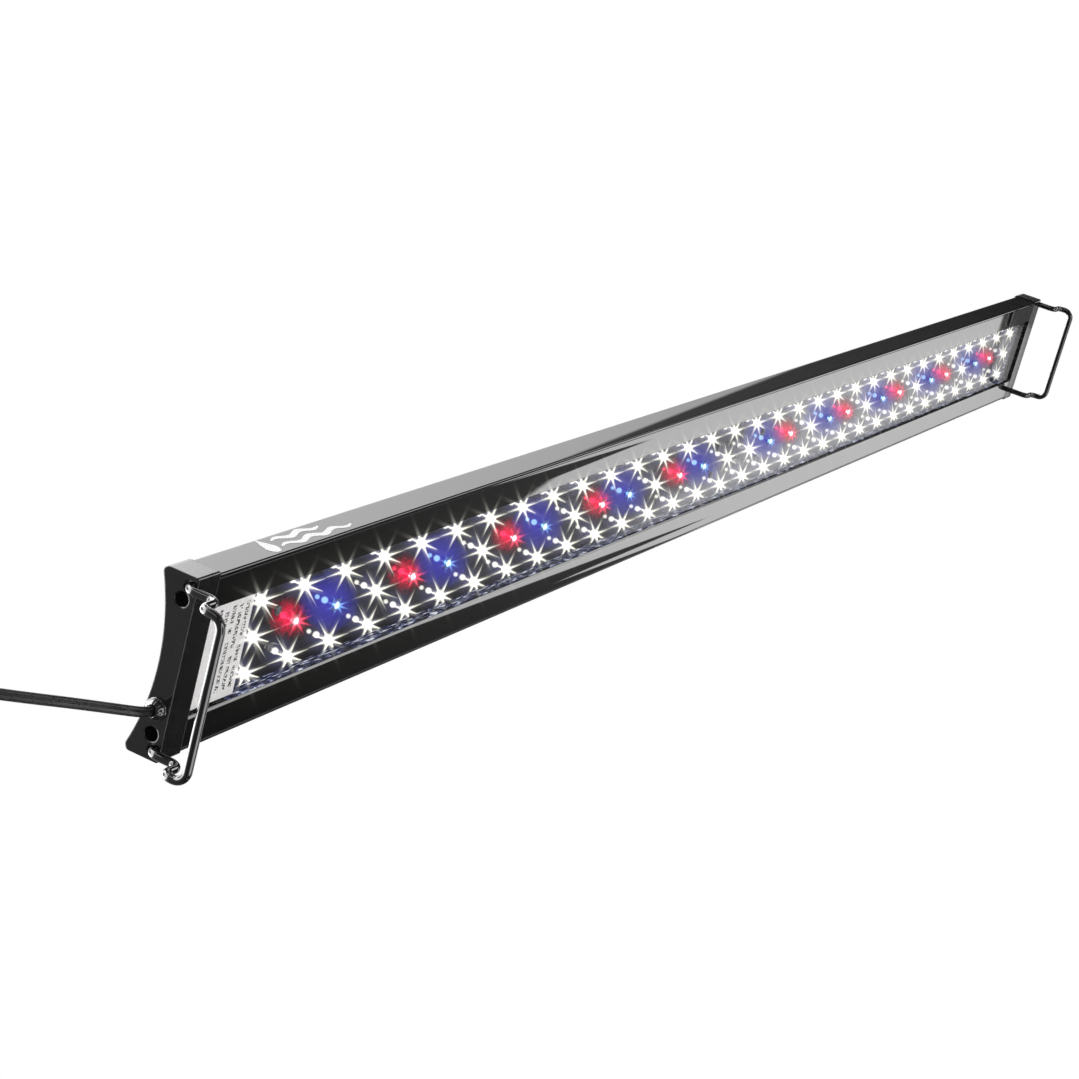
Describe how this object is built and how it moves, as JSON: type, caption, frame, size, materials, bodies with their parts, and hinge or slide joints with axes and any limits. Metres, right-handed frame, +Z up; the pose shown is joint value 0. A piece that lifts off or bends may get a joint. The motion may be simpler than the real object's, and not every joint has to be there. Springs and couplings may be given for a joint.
{
  "type": "led aquarium light",
  "caption": "Slim bar light for a fish tank: extruded housing with a concave back, rows of lamps behind a window, and sliding wire legs that stand on the tank's rim.",
  "frame": {"origin": "centre of the light on the plane of its flat underside, between the two end caps", "axes": "+X along the light from the end with the power cord to the other end, -Y towards the front face, +Z up in use, so the lamps shine towards -Z"},
  "size_m": [1.3984, 0.1265, 0.042],
  "materials": {
    "anodised_aluminium": "glossy black anodising",
    "cap_plastic": "satin to gloss black moulding",
    "gasket_rubber": "closed-cell foam",
    "screw_steel": "plated steel",
    "clear_window": "clear, polished",
    "seal_rubber": "grey adhesive foam",
    "led_board_mask": "dark blue solder mask",
    "thermal_pad_rubber": "grey silicone",
    "white_lamp": "white lamp package with a clear well",
    "red_lamp": "red lamp",
    "blue_lamp": "blue lamp",
    "driver_board_mask": "green solder mask",
    "chip_plastic": "moulded package",
    "inductor_ferrite": "ferrite",
    "capacitor_ceramic": "ceramic",
    "red_insulation": "insulation",
    "black_insulation": "insulation",
    "jumper_wire": "tinned wire",
    "label_film": "white printed film",
    "cord_rubber": "black flexible moulding",
    "plug_plastic": "black moulding",
    "plug_nickel": "nickel plate",
    "plug_brass": "plated spring sleeve",
    "leg_wire": "black chrome",
    "bush_nylon": "natural nylon",
    "stop_steel": "crimped steel"
  },
  "bodies": {
    "housing": {"housing_extrusion": "anodised_aluminium", "left_end_cap": "cap_plastic", "right_end_cap": "cap_plastic", "left_cap_gasket": "gasket_rubber", "right_cap_gasket": "gasket_rubber", "left_cap_screws": "screw_steel", "right_cap_screws": "screw_steel", "lens_window": "clear_window", "lens_seals": "seal_rubber", "left_led_board": "led_board_mask", "right_led_board": "led_board_mask", "thermal_pads": "thermal_pad_rubber", "board_screws": "screw_steel", "white_lamps": "white_lamp", "red_lamps": "red_lamp", "blue_lamps": "blue_lamp", "driver_board": "driver_board_mask", "driver_chip": "chip_plastic", "driver_inductor": "inductor_ferrite", "driver_capacitors": "capacitor_ceramic", "driver_screws": "screw_steel", "positive_lead": "red_insulation", "negative_lead": "black_insulation", "board_jumpers": "jumper_wire", "rating_label": "label_film", "cord_grommet": "cord_rubber", "power_cord": "cord_rubber", "plug_moulding": "plug_plastic", "plug_barrel": "plug_nickel", "plug_contact": "plug_brass", "left_leg_bushes": "bush_nylon", "right_leg_bushes": "bush_nylon"},
    "left_leg_body": {"left_leg": "leg_wire", "left_leg_stops": "stop_steel"},
    "right_leg_body": {"right_leg": "leg_wire", "right_leg_stops": "stop_steel"}
  },
  "joints": [
    {"name": "left_leg_slide", "type": "slide", "parent": "housing", "child": "left_leg_body", "axis": [-1, 0, 0], "range_m": [0, 0.076]},
    {"name": "right_leg_slide", "type": "slide", "parent": "housing", "child": "right_leg_body", "axis": [1, 0, 0], "range_m": [0, 0.076]}
  ]
}
